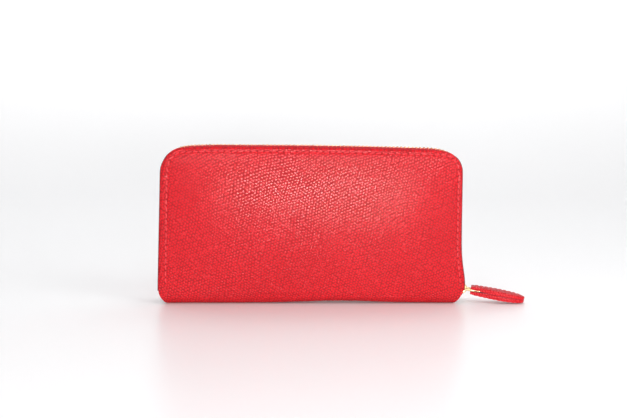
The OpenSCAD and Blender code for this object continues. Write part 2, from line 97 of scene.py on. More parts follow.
joints = {joint["name"]: joint for joint in frame["joints"]}
PIVOT = Vector(joints["zip_pull_hinge"]["pos_m"])
PULL_SWING = math.radians(12)
PULL_TILT = math.radians(9.1)
ON_PULL = (Matrix.Translation(PIVOT) @ Matrix.Rotation(-PULL_SWING, 4, "Z")
           @ Matrix.Rotation(PULL_TILT, 4, "Y"))


def smooth(t):
    """A soft step from 0 to 1."""
    t = min(1.0, max(0.0, t))
    return t * t * (3 - 2 * t)


def spaced(start, end, count):
    """Evenly spaced values, both ends included."""
    return [start + (end - start) * i / (count - 1) for i in range(count)]


# ---- Modelling helpers ----


def pick(piece):
    """Makes the piece the only selected one."""
    bpy.ops.object.select_all(action="DESELECT")
    piece.select_set(True)
    bpy.context.view_layer.objects.active = piece


def lattice(name, us, vs, place):
    """A grid whose crossings are moved to place(u, v)."""
    bpy.ops.object.select_all(action="DESELECT")
    across, along = len(us) - 1, len(vs) - 1
    bpy.ops.mesh.primitive_grid_add(x_subdivisions=across, y_subdivisions=along, size=2)
    piece = bpy.context.active_object
    piece.name = piece.data.name = name
    for vertex in piece.data.vertices:
        u = us[round((vertex.co.x + 1) / 2 * across)]
        v = vs[round((vertex.co.y + 1) / 2 * along)]
        vertex.co = place(u, v)
    return piece


def apply_modifier(piece, kind, **settings):
    """Applies a modifier with these settings to the piece."""
    pick(piece)
    modifier = piece.modifiers.new(kind.title(), kind)
    for key, value in settings.items():
        setattr(modifier, key, value)
    bpy.ops.object.modifier_apply(modifier=modifier.name)


def thicken(piece, thickness, offset=-1.0):
    """Gives a sheet its thickness: inwards, or about its middle with offset 0."""
    apply_modifier(piece, "SOLIDIFY", thickness=thickness, offset=offset, use_even_offset=True)


def round_edges(piece, width, segments=2, angle=30):
    """Bevels the edges that turn by more than the angle, in degrees."""
    apply_modifier(piece, "BEVEL", width=width, segments=segments, limit_method="ANGLE",
                   angle_limit=math.radians(angle), use_clamp_overlap=True)


def close_up(piece):
    """Merges doubles, closes open ends and turns all faces outwards."""
    pick(piece)
    bpy.ops.object.mode_set(mode="EDIT")
    bpy.ops.mesh.select_all(action="SELECT")
    bpy.ops.mesh.remove_doubles(threshold=0.002 * MM)
    bpy.ops.mesh.select_all(action="SELECT")
    bpy.ops.mesh.fill_holes(sides=0)
    bpy.ops.mesh.select_all(action="SELECT")
    bpy.ops.mesh.normals_make_consistent(inside=False)
    bpy.ops.object.mode_set(mode="OBJECT")


def swept(name, section, stations, place):
    """A closed section carried along stations: place(station, point of the section) gives each vertex."""
    ring = list(section) + [section[0]]
    piece = lattice(name, range(len(ring)), range(len(stations)),
                    lambda u, v: place(stations[v], ring[u]))
    close_up(piece)
    return piece


def rounded_section(half_w, half_t, radius, steps=3):
    """Points of a rectangle with round corners, about its centre."""
    points = []
    for corner, (sx, sy) in enumerate([(1, 1), (-1, 1), (-1, -1), (1, -1)]):
        for turn in spaced(0, math.pi / 2, steps):
            a = corner * math.pi / 2 + turn
            points.append((sx * (half_w - radius) + radius * math.cos(a),
                           sy * (half_t - radius) + radius * math.sin(a)))
    return points


def repeated(original, places):
    """Copies of the original at each place, joined to one mesh."""
    copies = []
    for place in places[1:]:
        copy = original.copy()
        copy.data = original.data.copy()
        bpy.context.scene.collection.objects.link(copy)
        copy.matrix_world = place
        copies.append(copy)
    original.data.transform(places[0])
    pick(original)
    for copy in copies:
        copy.select_set(True)
    bpy.ops.object.join()
    return original


def block(name, low, high, bevel=0.0, segments=2):
    """A box with rounded edges, between two corners."""
    low, high = Vector(low), Vector(high)
    bpy.ops.object.select_all(action="DESELECT")
    bpy.ops.mesh.primitive_cube_add(size=1, location=(low + high) / 2, scale=high - low)
    piece = bpy.context.active_object
    piece.name = piece.data.name = name
    bpy.ops.object.transform_apply(location=True, rotation=True, scale=True)
    if bevel:
        round_edges(piece, bevel, segments)
    return piece


def settle(piece, body, material, slot, *nodes, angle=40):
    """Gives a finished piece its shading, material and body, and hides the CAD nodes it stands for. The slot
    is not used.
    """
    pick(piece)
    bpy.ops.object.shade_smooth_by_angle(angle=math.radians(angle))
    piece.data.materials.clear()
    piece.data.materials.append(material)
    if nodes:
        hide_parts(*nodes)
    if body:
        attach(piece, body)
    return piece


# ---- Materials ----


def new_material(name, **sockets):
    """A Principled material with these socket values, and its node tree."""
    material = bpy.data.materials.new(name)
    material.use_nodes = True
    shader = material.node_tree.nodes["Principled BSDF"]
    for key, value in sockets.items():
        shader.inputs[key.replace("_", " ")].default_value = value
    return material, material.node_tree, shader


def add_node(tree, kind, inputs=None, **settings):
    """A shader node: its inputs are linked to sockets or set to values."""
    node = tree.nodes.new(kind)
    for key, value in settings.items():
        setattr(node, key, value)
    for key, value in (inputs or {}).items():
        if isinstance(value, bpy.types.NodeSocket):
            tree.links.new(value, node.inputs[key])
        else:
            node.inputs[key].default_value = value
    return node


def ramp(tree, source, stops):
    """A colour ramp with these (position, colour) stops."""
    node = add_node(tree, "ShaderNodeValToRGB", {"Fac": source})
    elements = node.color_ramp.elements
    while len(elements) < len(stops):
        elements.new(0.5)
    for element, (position, colour) in zip(elements, stops):
        element.position = position
        element.color = colour
    return node.outputs["Color"]


def grey(value):
    """A grey colour of this brightness."""
    return (value, value, value, 1)


def blend_colour(a, b, share):
    """The colour at this share of the way from a to b."""
    return tuple(x + (y - x) * share for x, y in zip(a, b))


def object_place(tree):
    """The Object coordinates."""
    return add_node(tree, "ShaderNodeTexCoord").outputs["Object"]


def bump_from(tree, height, strength, distance, under=None):
    """The bump of a height: strength is a number or a socket."""
    inputs = {"Height": height, "Strength": strength, "Distance": distance}
    if under is not None:
        inputs["Normal"] = under
    return add_node(tree, "ShaderNodeBump", inputs).outputs["Normal"]


def unrolled(tree, place):
    """The place on a skin laid flat: X along it, and Z plus the distance from the middle plane."""
    parts = add_node(tree, "ShaderNodeSeparateXYZ", {"Vector": place}).outputs
    aside = add_node(tree, "ShaderNodeMath", {0: parts["Y"]}, operation="ABSOLUTE")
    up = add_node(tree, "ShaderNodeMath", {0: parts["Z"], 1: aside.outputs[0]}, operation="ADD")
    return add_node(tree, "ShaderNodeCombineXYZ", {"X": parts["X"], "Y": up.outputs[0]}).outputs[0]


DIAGONAL_CUT = Matrix((Vector((1, -1, 0)).normalized(), Vector((1, 1, -2)).normalized(),
                       Vector((1, 1, 1)).normalized())).transposed()
GRAIN_TURN = 0.7
HONEYCOMB = (DIAGONAL_CUT @ Matrix.Rotation(GRAIN_TURN, 3, "Z")).to_euler()
JITTER = 0.34
WANDER = 5 * MM
WANDER_SCALE = 32
PRESSED_LOW = TOP - 15 * MM
PRESSED_HIGH = TOP - 7 * MM


def leather(name, colour, shade, grain, depth, roughness):
    """Pebbled leather: close rounded pebbles of the grain's size, with painted shade darkening the creases
    between them.

    A cubic lattice of cells cut across its long diagonal gives pebbles in a honeycomb. Its rows wander, and
    the pebbles are pressed flat along the seam at the top."""
    material, tree, shader = new_material(name, Specular_IOR_Level=0.3)
    place = object_place(tree)
    wander = add_node(tree, "ShaderNodeTexNoise", {"Vector": place, "Scale": WANDER_SCALE, "Detail": 0.0})
    flat = add_node(tree, "ShaderNodeVectorMath",
                    {0: wander.outputs["Color"], 1: (WANDER, WANDER, 0), 2: unrolled(tree, place)},
                    operation="MULTIPLY_ADD")
    cut = add_node(tree, "ShaderNodeMapping",
                   {"Vector": flat.outputs[0], "Rotation": HONEYCOMB, "Location": 3 * (JITTER / 2,),
                    "Scale": 3 * (math.sqrt(2) / grain,)})
    pebbles = add_node(tree, "ShaderNodeTexVoronoi",
                       {"Vector": cut.outputs["Vector"], "Scale": 1.0, "Randomness": JITTER}, feature="F1")
    dome = ramp(tree, pebbles.outputs["Distance"],
                [(0.1, grey(1)), (0.3, grey(0.94)), (0.47, grey(0.45)), (0.66, grey(0))])
    patches = add_node(tree, "ShaderNodeTexNoise", {"Vector": place, "Scale": 30, "Detail": 2.0})
    pores = add_node(tree, "ShaderNodeTexNoise", {"Vector": place, "Scale": 2600, "Detail": 3.0})
    normal = bump_from(tree, pores.outputs["Fac"], 0.15, 0.05 * MM)
    height = add_node(tree, "ShaderNodeSeparateXYZ", {"Vector": place}).outputs["Z"]
    pressed = add_node(tree, "ShaderNodeMapRange",
                       {"Value": height, "From Min": PRESSED_LOW, "From Max": PRESSED_HIGH, "To Min": 1.0,
                        "To Max": 0.5})
    tree.links.new(bump_from(tree, dome, pressed.outputs["Result"], depth, normal), shader.inputs["Normal"])
    lit = ramp(tree, patches.outputs["Fac"], [(0.3, blend_colour(shade, colour, 0.8)), (0.7, colour)])
    # Painted shade: where the dome is low, in the creases between the pebbles, the colour mixes to the shade
    # colour.
    creases = add_node(tree, "ShaderNodeMix", data_type="RGBA")
    tree.links.new(ramp(tree, dome, [(0.1, grey(0)), (0.7, grey(1))]), creases.inputs["Factor"])
    colours = [socket for socket in creases.inputs if socket.type == "RGBA"]
    colours[0].default_value = shade
    tree.links.new(lit, colours[1])
    mixed = [socket for socket in creases.outputs if socket.type == "RGBA"][0]
    tree.links.new(mixed, shader.inputs["Base Color"])
    tree.links.new(ramp(tree, dome, [(0.35, grey(0.8)), (0.75, grey(roughness))]), shader.inputs["Roughness"])
    return material


WAVES = 0.31416


def cloth(name, colour, shade, pitch, depth, sheen=0.25, diagonal=0.0):
    """Woven cloth: two sets of ribs that cross, on the piece's own place, with painted shade between the
    ribs.
    """
    material, tree, shader = new_material(name, Roughness=0.75, Specular_IOR_Level=0.08, Sheen_Weight=sheen)
    place = object_place(tree)
    ribs = []
    for turn in ((0.0, diagonal, 0.0), (0.0, diagonal + math.pi / 2, 0.0), (0.0, 0.0, math.pi / 2)):
        turned = add_node(tree, "ShaderNodeMapping", {"Vector": place, "Rotation": turn})
        ribs.append(add_node(tree, "ShaderNodeTexWave",
                             {"Vector": turned.outputs["Vector"], "Scale": WAVES / pitch,
                              "Distortion": 0.6, "Detail": 1.0}).outputs["Fac"])
    crossed = add_node(tree, "ShaderNodeMath", {0: ribs[0], 1: ribs[1]}, operation="MAXIMUM")
    both = add_node(tree, "ShaderNodeMath", {0: crossed.outputs[0], 1: ribs[2]}, operation="MAXIMUM")
    tree.links.new(bump_from(tree, both.outputs[0], 0.6, depth), shader.inputs["Normal"])
    # Painted shade: the colour falls to the shade colour in the grooves between the ribs, following their
    # height.
    tree.links.new(ramp(tree, both.outputs[0], [(0.2, shade), (0.9, colour)]), shader.inputs["Base Color"])
    return material


def metal(name, colour, tarnish, roughness):
    """Plated metal with faint wear and fine scratches."""
    material, tree, shader = new_material(name, Metallic=1.0)
    place = object_place(tree)
    wear = add_node(tree, "ShaderNodeTexNoise", {"Vector": place, "Scale": 420, "Detail": 5.0})
    tree.links.new(ramp(tree, wear.outputs["Fac"], [(0.3, tarnish), (0.6, colour)]),
                   shader.inputs["Base Color"])
    tree.links.new(ramp(tree, wear.outputs["Fac"], [(0.3, grey(roughness + 0.15)), (0.7, grey(roughness))]),
                   shader.inputs["Roughness"])
    drawn = add_node(tree, "ShaderNodeMapping", {"Vector": place, "Scale": (4000, 300, 4000)})
    scratches = add_node(tree, "ShaderNodeTexNoise", {"Vector": drawn.outputs["Vector"], "Scale": 1.0})
    tree.links.new(bump_from(tree, scratches.outputs["Fac"], 0.15, 0.02 * MM), shader.inputs["Normal"])
    return material


def plain(name, colour, shade, scale, roughness, depth):
    """A finish with a fine uneven surface, for edge paint, thread and board."""
    material, tree, shader = new_material(name, Roughness=roughness)
    place = object_place(tree)
    specks = add_node(tree, "ShaderNodeTexNoise", {"Vector": place, "Scale": scale, "Detail": 4.0})
    tree.links.new(ramp(tree, specks.outputs["Fac"], [(0.35, shade), (0.65, colour)]),
                   shader.inputs["Base Color"])
    tree.links.new(bump_from(tree, specks.outputs["Fac"], 0.4, depth), shader.inputs["Normal"])
    return material


# Each leather's second colour is painted shade, for the creases between its pebbles.
outer_leather = leather("pebbled_red_leather", (0.62, 0.007, 0.015, 1), (0.29, 0.001, 0.004, 1),
                        1.95 * MM, 0.17 * MM, 0.20)
pull_leather = leather("pull_red_leather", (0.60, 0.009, 0.018, 1), (0.42, 0.003, 0.008, 1),
                       1.6 * MM, 0.10 * MM, 0.34)
inner_leather = leather("smooth_red_leather", (0.62, 0.022, 0.030, 1), (0.46, 0.012, 0.018, 1),
                        0.9 * MM, 0.06 * MM, 0.42)
# Each cloth's second colour is painted shade, for the grooves between its ribs.
lining_cloth = cloth("red_twill_lining", (0.36, 0.012, 0.020, 1), (0.24, 0.006, 0.012, 1),
                     0.5 * MM, 0.08 * MM, diagonal=math.pi / 4)
tape_cloth = cloth("red_zip_tape", (0.55, 0.016, 0.026, 1), (0.32, 0.008, 0.014, 1), 0.45 * MM, 0.1 * MM,
                   sheen=0.0)
# Partly painted shade: the maroon edge paint is darkened further to stand for the shade in the gap at the
# covers' edges; the pull's painted edge shares this colour.
edge_paint_and_shade = plain("maroon_edge_paint", (0.15, 0.007, 0.018, 1), (0.10, 0.004, 0.011, 1), 900, 0.6, 0.03 * MM)
thread = plain("red_thread", (0.66, 0.022, 0.032, 1), (0.54, 0.012, 0.020, 1), 2600, 0.5, 0.08 * MM)
# Painted shade: this dark colour, on the pegs between the stitches, stands for the shade inside a needle
# hole.
needle_hole_shade = plain("needle_hole_shade", (0.26, 0.003, 0.006, 1), (0.18, 0.002, 0.004, 1), 1500, 0.9, 0.03 * MM)
fibre_board = plain("fibre_board", (0.30, 0.27, 0.23, 1), (0.22, 0.19, 0.16, 1), 700, 0.9, 0.1 * MM)
gold = metal("light_gold", (0.80, 0.57, 0.31, 1), (0.60, 0.40, 0.20, 1), 0.22)
teeth_brass = metal("copper_gold_teeth", (0.66, 0.36, 0.20, 1), (0.44, 0.22, 0.13, 1), 0.38)

# ---- The shape that the covers take in use ----

BULGE = 2.0 * MM
BULGE_Z = 50 * MM
BULGE_REACH = 51 * MM
ROLL = 0.8 * MM
GROOVE = 0.25 * MM
SAG_RIGHT = 2.3 * MM
SAG_LEFT = 0.6 * MM
LIFT = 0.35 * MM
FOOT_Z = 12 * MM
LEAN_LEFT = 0.026
CORNER_IN_LEFT = 1.3 * MM
WAIST_RIGHT = 0.3 * MM
FLARE_LEFT = 1.0 * MM
FLARE_RIGHT = 2.4 * MM
ARCH = 1.3 * MM
ARCH_X = 18 * MM


def relaxed(point):
    """Where a point of the straight covers and zip lies: flared at the foot, lower at the top right."""
    x, y, z = point
    end = (abs(x) / HALF_LENGTH) ** 6
    rise = max(0.0, z - FOOT_Z)
    off_zip = smooth((abs(y) - 4 * MM) / (6 * MM))
    if x < 0:
        lean = -LEAN_LEFT * rise - CORNER_IN_LEFT * smooth((z - 85 * MM) / (12 * MM))
        flare = FLARE_LEFT
    else:
        lean = -WAIST_RIGHT * smooth(rise / (40 * MM)) * off_zip
        flare = FLARE_RIGHT * math.exp(-((z - FOOT_Z) / ((8 if z < FOOT_Z else 14) * MM)) ** 2)
    flare *= smooth(z / (8 * MM)) * off_zip
    sag = (SAG_RIGHT * (max(0.0, x + 30 * MM) / (130 * MM)) ** 2
           + SAG_LEFT * smooth((-x - 60 * MM) / (25 * MM)) - LIFT) * (z / TOP) ** 2
    arch = ARCH * math.exp(-((x - ARCH_X) / (32 * MM)) ** 2) * max(0.0, 1 - z / (12 * MM)) ** 2
    outward = 1 if x > 0 else -1
    return Vector((x + outward * end * (lean + flare), y, z - sag + arch))


def edge_distance(x, z):
    """Distance in from the ends and top of a cover."""
    if abs(x) > CORNER_X and z > CORNER_Z:
        return CORNER_R - math.hypot(abs(x) - CORNER_X, z - CORNER_Z)
    return min(HALF_LENGTH - abs(x), TOP - z)


def row_half(z):
    """Half-length of the leather at height z."""
    if z > CORNER_Z:
        return CORNER_X + math.sqrt(max(0.0, CORNER_R ** 2 - (z - CORNER_Z) ** 2))
    if z < SPINE_DRAW_HEIGHT:
        return HALF_LENGTH - SPINE_DRAW_IN * (1 - z / SPINE_DRAW_HEIGHT) ** SPINE_DRAW_POWER
    return HALF_LENGTH


def padding(x, z):
    """How far the outer leather stands proud of its flat face."""
    inward = max(0.0, edge_distance(x, z))
    above = smooth((z - SPINE_EDGE_R) / (8 * MM))
    roll = -ROLL * max(0.0, 1 - inward / (1.6 * MM)) ** 2
    from_seam = edge_distance(x - SEAM_ASIDE, z - SEAM_UP) - STITCH_INSET
    groove = -GROOVE * math.exp(-(from_seam / (0.6 * MM)) ** 2)
    crown = BULGE * (1 - (x / HALF_LENGTH) ** 4) * max(0.0, 1 - ((z - BULGE_Z) / BULGE_REACH) ** 2)
    return roll + above * groove + crown


NEAR_EDGE = [0, 0.3, 0.7, 1.2, 1.8, 2.4, 3.0, 3.6, 4.2, 4.8, 5.6, 6.8, 8.4, 10.5]


def columns():
    """Shares of a row's half-length, close together near its ends."""
    ends = [1 - d * MM / HALF_LENGTH for d in NEAR_EDGE]
    middle = spaced(-ends[-1], ends[-1], 56)
    return [-e for e in ends[:-1]] + middle + ends[-2::-1]


def skin_rows():
    """Places along the leather's section, from the middle of the spine up to the top edge."""
    rows = [(y, 0.0) for y in spaced(0, SPINE_FLAT, 4)[:-1]]
    for a in spaced(0, math.pi / 2, 9):
        rows.append((SPINE_FLAT + SPINE_EDGE_R * math.sin(a), SPINE_EDGE_R * (1 - math.cos(a))))
    rows += [(OUTER, z) for z in spaced(SPINE_EDGE_R, 15 * MM, 10)[1:]]
    rows += [(OUTER, z) for z in spaced(15 * MM, TOP - 13 * MM, 26)[1:]]
    rows += [(OUTER, TOP - d * MM) for d in [12] + NEAR_EDGE[::-1]]
    return rows


def cover_skin(name, side):
    """The outer leather of one side, from the middle of the spine to the top edge."""
    rows = skin_rows()

    def place(u, v):
        depth, z = rows[v]
        x = u * row_half(z)
        return relaxed((x, side * (depth + (padding(x, z) if z > SPINE_EDGE_R else 0)), z))

    us = columns() if side == FRONT else columns()[::-1]
    skin = lattice(name + "_outer_leather", us, range(len(rows)), place)
    thicken(skin, LEATHER)
    nodes = [name + "_cover_leather"] + (["spine_leather"] if side == FRONT else [])
    settle(skin, None, outer_leather, "outer_leather", *nodes, angle=60)
    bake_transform(skin)


# ---- The line round the covers' ends and top ----


def rim_length(inset, start):
    """Length of the line round the covers, this far inside them, from height start to start."""
    return 2 * (CORNER_Z - start) + 2 * CORNER_X + math.pi * (CORNER_R - inset)


def rim_place(s, inset, start):
    """Place at distance s up the left end, over the top and down the right end: x, z, outward angle."""
    radius = CORNER_R - inset
    side, arc, top = CORNER_Z - start, radius * math.pi / 2, 2 * CORNER_X
    if s < side:
        return -HALF_LENGTH + inset, start + s, math.pi
    if s < side + arc:
        a = math.pi - (s - side) / radius
        return -CORNER_X + radius * math.cos(a), CORNER_Z + radius * math.sin(a), a
    if s < side + arc + top:
        return -CORNER_X + s - side - arc, TOP - inset, math.pi / 2
    if s < side + 2 * arc + top:
        a = math.pi / 2 - (s - side - arc - top) / radius
        return CORNER_X + radius * math.cos(a), CORNER_Z + radius * math.sin(a), a
    return HALF_LENGTH - inset, CORNER_Z - (s - side - 2 * arc - top), 0.0


def rim_stations(inset, start, gap=2 * MM):
    """Evenly spaced distances along the line, about a gap apart."""
    length = rim_length(inset, start)
    return spaced(0, length, int(length / gap) + 2)


def rim_point(s, inset, start, depth, outward=0.0):
    """A point on the relaxed rim, at this signed depth in Y, raised outwards."""
    x, z, a = rim_place(s, inset, start)
    return relaxed((x + outward * math.cos(a), depth, z + outward * math.sin(a)))


def chain_rise(s, inset, start, side):
    """How far the closed zip stands up: domed on the top run, higher in front, and sunk at the ends."""
    x = rim_place(s, inset, start)[0]
    on_top = smooth((HALF_LENGTH - 5 * MM - abs(x)) / (16 * MM))
    domed = CHAIN_DOME - (CHAIN_STEP if side == BACK else 0)
    return domed * on_top - CHAIN_SUNK * (1 - on_top)


def edge_band(name, side):
    """The turned-in and painted edge between the outer leather and the lining. Its colour is real maroon edge
    paint, darkened further as painted shade for the gap at the covers' edges.
    """
    half_t = (OUTER - LEATHER - LINING_FACE) / 2
    centre = LINING_FACE + half_t
    inset = 0.6 * MM
    lower_on_top = 0.8 * MM
    section = rounded_section(half_t, 1.1 * MM, 0.35 * MM)

    def place(s, point):
        on_top = smooth((rim_place(s, inset, COVER_BOTTOM)[1] - (TOP - 6 * MM)) / (5 * MM))
        return rim_point(s, inset, COVER_BOTTOM, side * (centre + point[0]), point[1] - lower_on_top * on_top)

    piece = swept(name + "_painted_edge", section, rim_stations(inset, COVER_BOTTOM), place)
    settle(piece, name + "_cover", edge_paint_and_shade, "outer_leather")


def zip_tape(name, side):
    """Woven tape from the cover's edge to the teeth, domed along the top, and its bead."""
    depths = spaced(LINING_FACE + 0.2 * MM, TAPE_EDGE, 7)
    stations = rim_stations(ZIP_INSET, TAPE_BOTTOM)

    def place(u, v):
        share = (LINING_FACE - u) / (LINING_FACE - TAPE_EDGE)
        rise = chain_rise(stations[v], ZIP_INSET, TAPE_BOTTOM, side) * smooth(1.6 * share)
        return rim_point(stations[v], ZIP_INSET, TAPE_BOTTOM, side * u, rise)

    piece = lattice(name + "_woven_tape", depths, range(len(stations)), place)
    thicken(piece, TAPE_T, 0.0)
    settle(piece, name + "_cover", tape_cloth, "zip_tape", name + "_zip_tape")
    ring = [(BEAD_R * math.cos(a), BEAD_R * math.sin(a)) for a in spaced(0, 2 * math.pi, 9)[:-1]]

    def on_bead(s, point):
        rise = chain_rise(s, ZIP_INSET, TAPE_BOTTOM, side) + point[1]
        return rim_point(s, ZIP_INSET, TAPE_BOTTOM, side * (TAPE_EDGE + BEAD_R + point[0]), rise)

    bead = swept(name + "_tape_bead", ring, stations, on_bead)
    settle(bead, name + "_cover", tape_cloth, "zip_tape")


def rim_matrix(s, inset, start, side, rise):
    """A frame on the zip's line: X along it, Y from the middle to this side, Z out of the wallet."""
    x, z, a = rim_place(s, inset, start)
    out = Vector((math.cos(a), 0, math.sin(a)))
    across = Vector((0, side, 0))
    matrix = Matrix((across.cross(out), across, out)).transposed().to_4x4()
    return Matrix.Translation(rim_point(s, inset, start, 0, rise)) @ matrix


def tooth(name, width, reach, root, thickness, waist):
    """One tooth: a rounded head at -Y, narrower legs at +Y, which clamp the tape."""
    piece = block(name, (-width / 2, -reach, -thickness / 2), (width / 2, root, thickness / 2))
    for vertex in piece.data.vertices:
        if vertex.co.y > 0:
            vertex.co.x *= waist
    round_edges(piece, 0.22 * width, 1)
    return piece


def zip_teeth(name, side):
    """One cover's row of teeth. The rows are half a pitch apart, so they mesh."""
    length = rim_length(ZIP_INSET, TAPE_BOTTOM)
    spaces = int((length - TOOTHLESS_END) / TOOTH_PITCH) - (0 if side == BACK else 1)
    first = (length - spaces * TOOTH_PITCH) / 2
    places = []
    for i in range(spaces + 1):
        s = first + i * TOOTH_PITCH
        rise = chain_rise(s, ZIP_INSET, TAPE_BOTTOM, side)
        places.append(rim_matrix(s, ZIP_INSET, TAPE_BOTTOM, side, rise))
    first_tooth = tooth(name + "_metal_teeth", width=1.1 * MM, reach=0.7 * MM, root=2.6 * MM,
                        thickness=2.4 * MM, waist=0.85)
    row = repeated(first_tooth, places)
    settle(row, name + "_cover", teeth_brass, "brass", name + "_zip_teeth", angle=30)


def rice_grain(name, length, width, height):
    """One stitch, a spindle along X."""
    bpy.ops.object.select_all(action="DESELECT")
    bpy.ops.mesh.primitive_uv_sphere_add(segments=8, ring_count=6, radius=1, rotation=(0, math.pi / 2, 0))
    piece = bpy.context.active_object
    piece.name = piece.data.name = name
    bpy.ops.object.transform_apply(location=True, rotation=True, scale=True)
    for vertex in piece.data.vertices:
        blunt = 1 - abs(vertex.co.x) ** 4 * 0.3
        vertex.co = Vector((vertex.co.x * length / 2, vertex.co.y * width / 2 * blunt,
                            vertex.co.z * height / 2))
    return piece


def peg(name, radius, depth):
    """A short round peg about its centre, along Z."""
    bpy.ops.object.select_all(action="DESELECT")
    bpy.ops.mesh.primitive_cylinder_add(vertices=8, radius=radius, depth=depth)
    piece = bpy.context.active_object
    piece.name = piece.data.name = name
    return piece


def cover_stitching(name, side):
    """Saddle stitches along the cover's ends and top, with a dark peg between each two: painted shade for a
    needle hole.
    """
    length = rim_length(STITCH_INSET, STITCH_BOTTOM)
    count = int(length / STITCH_PITCH)
    first = (length - (count - 1) * STITCH_PITCH) / 2
    stitches, holes = [], []
    for i in range(2 * count + 1):
        s = first + (i - 1) * STITCH_PITCH / 2
        x, z, a = rim_place(max(0.0, min(length, s)), STITCH_INSET, STITCH_BOTTOM)
        x, z = x + SEAM_ASIDE, z + SEAM_UP
        along = Vector((math.sin(a), 0, -math.cos(a)))
        out = Vector((0, side, 0))
        turned = Matrix((along, out.cross(along), out)).transposed().to_4x4()
        lift = 0.22 * MM if i % 2 else -0.12 * MM
        at = Matrix.Translation(relaxed((x, side * (OUTER + padding(x, z) + lift), z))) @ turned
        if i % 2:
            stitches.append(at @ Matrix.Rotation(STITCH_SLANT, 4, "Z"))
        else:
            holes.append(at)
    stitch = rice_grain(name + "_cover_stitches", length=3.5 * MM, width=1.0 * MM, height=0.9 * MM)
    row = repeated(stitch, stitches)
    settle(row, name + "_cover", thread, "thread", name + "_stitching", angle=60)
    # Dark pegs as painted shade for the needle holes.
    row = repeated(peg(name + "_needle_holes", radius=0.5 * MM, depth=0.4 * MM), holes)
    settle(row, name + "_cover", needle_hole_shade, "outer_leather")


# ---- Slider and pull ----

slider_low, slider_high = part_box("slider_body")
SLIDER_MID = Vector(((slider_low.x + slider_high.x) / 2 - CHAIN_SUNK, 0, (slider_low.z + slider_high.z) / 2))
SLIDER_HALF = (slider_high.z - slider_low.z) / 2
SLIDER_HALF_W = slider_high.y
SLIDER_REACH = (slider_high.x - slider_low.x) / 2
PLATE_T = 1.0 * MM


def slider_plate(name, facing):
    """One plate of the slider, wider at its lower end, with its two lips turned towards the zip."""

    def place(u, v):
        wide = SLIDER_HALF_W * (1 - 0.30 * smooth((v + 0.1) / 1.1) - 0.14 * smooth((-v - 0.6) / 0.4))
        lip = 1.2 * MM * smooth((abs(u) - 0.66) / 0.26)
        end = 0.35 * MM * abs(v) ** 6
        return SLIDER_MID + Vector((facing * (SLIDER_REACH - lip - end), u * wide * facing, v * SLIDER_HALF))

    piece = lattice(name, spaced(-1, 1, 17), spaced(-1, 1, 11), place)
    thicken(piece, PLATE_T)
    round_edges(piece, 0.25 * MM, 2, 50)
    return piece


def slider():
    """The two plates of the main slider and the post that joins them."""
    outer = slider_plate("slider_outer_plate", 1)
    settle(outer, "zip_slider", gold, "brass", "slider_body")
    inner = slider_plate("slider_inner_plate", -1)
    settle(inner, "zip_slider", gold, "brass")
    reach = SLIDER_REACH - 0.5 * MM
    post = block("slider_post", SLIDER_MID + Vector((-reach, -0.7 * MM, -SLIDER_HALF + 0.5 * MM)),
                 SLIDER_MID + Vector((reach, 0.7 * MM, -SLIDER_HALF + 3.1 * MM)), 0.3 * MM)
    settle(post, "zip_slider", gold, "brass")


def slider_crown():
    """The arch on the slider that holds the pull."""
    low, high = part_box("slider_crown")
    outer = (high.z - low.z) / 2
    thick = 1.4 * MM
    middle = outer - thick / 2
    section = rounded_section((high.y - low.y) / 2, thick / 2, 0.45 * MM)
    root = low.x - CHAIN_SUNK - 0.3 * MM

    def place(turn, point):
        radius = middle + point[1]
        return Vector((root + (high.x - root) * radius / outer * math.cos(turn), point[0],
                       SLIDER_MID.z + radius * math.sin(turn)))

    piece = swept("slider_crown_arch", section, spaced(-math.pi / 2, math.pi / 2, 19), place)
    settle(piece, "zip_slider", gold, "brass", "slider_crown")


LINK_ARM = 1.8 * MM
LINK_HALF = 4.2 * MM
LINK_T = 1.4 * MM
LINK_LENGTH = 12 * MM
LINK_CORNER = 1.2 * MM


def pull_link():
    """Flat gold window: a round bar through the crown, two arms and a tongue between the leathers."""
    centre = LINK_HALF - LINK_ARM / 2
    path = [(0, -centre + LINK_CORNER), (0, centre - LINK_CORNER)]
    for turn in spaced(0, math.pi / 2, 5):
        path.append((LINK_CORNER * (1 - math.cos(turn)), centre - LINK_CORNER * (1 - math.sin(turn))))
    path += [(LINK_LENGTH, centre), (LINK_LENGTH, -centre)]
    for turn in spaced(math.pi / 2, 0, 5):
        path.append((LINK_CORNER * (1 - math.cos(turn)), -centre + LINK_CORNER * (1 - math.sin(turn))))
    section = rounded_section(0.75 * MM, LINK_T / 2, 0.4 * MM)
    stations = []
    for i, here in enumerate(path):
        before, after = Vector(path[i - 1]), Vector(path[(i + 1) % len(path)])
        into, onward = (Vector(here) - before).normalized(), (after - Vector(here)).normalized()
        along = (into + onward).normalized()
        stations.append((Vector(here), Vector((along.y, -along.x)), 1 / max(0.5, into.dot(along))))
    stations.append(stations[0])

    def place(station, point):
        here, across, stretch = station
        flat = here + across * point[0] * stretch
        return ON_PULL @ Vector((flat.x, flat.y, point[1]))

    piece = swept("pull_link_window", section, stations, place)
    settle(piece, "zip_pull", gold, "brass", "pull_link")


TAB_START = 4.9 * MM
TAB_END = 40 * MM
TAB_NECK = 3.9 * MM
TAB_HALF_W = 7 * MM
TAB_T = 2.1 * MM
TAB_SWELL = 1.0 * MM
TAB_WIDEST = 0.56


def tab_half(t):
    """Half-width of the pull tab at the share t of its length: narrow neck, leaf belly, round tip."""
    if t < TAB_WIDEST:
        return TAB_NECK + (TAB_HALF_W - TAB_NECK) * smooth(t / TAB_WIDEST * 0.5 + 0.12) / smooth(0.62)
    past = (t - TAB_WIDEST) / (1 - TAB_WIDEST)
    return TAB_HALF_W * (1 - past ** 2.3) ** (1 / 2.1)


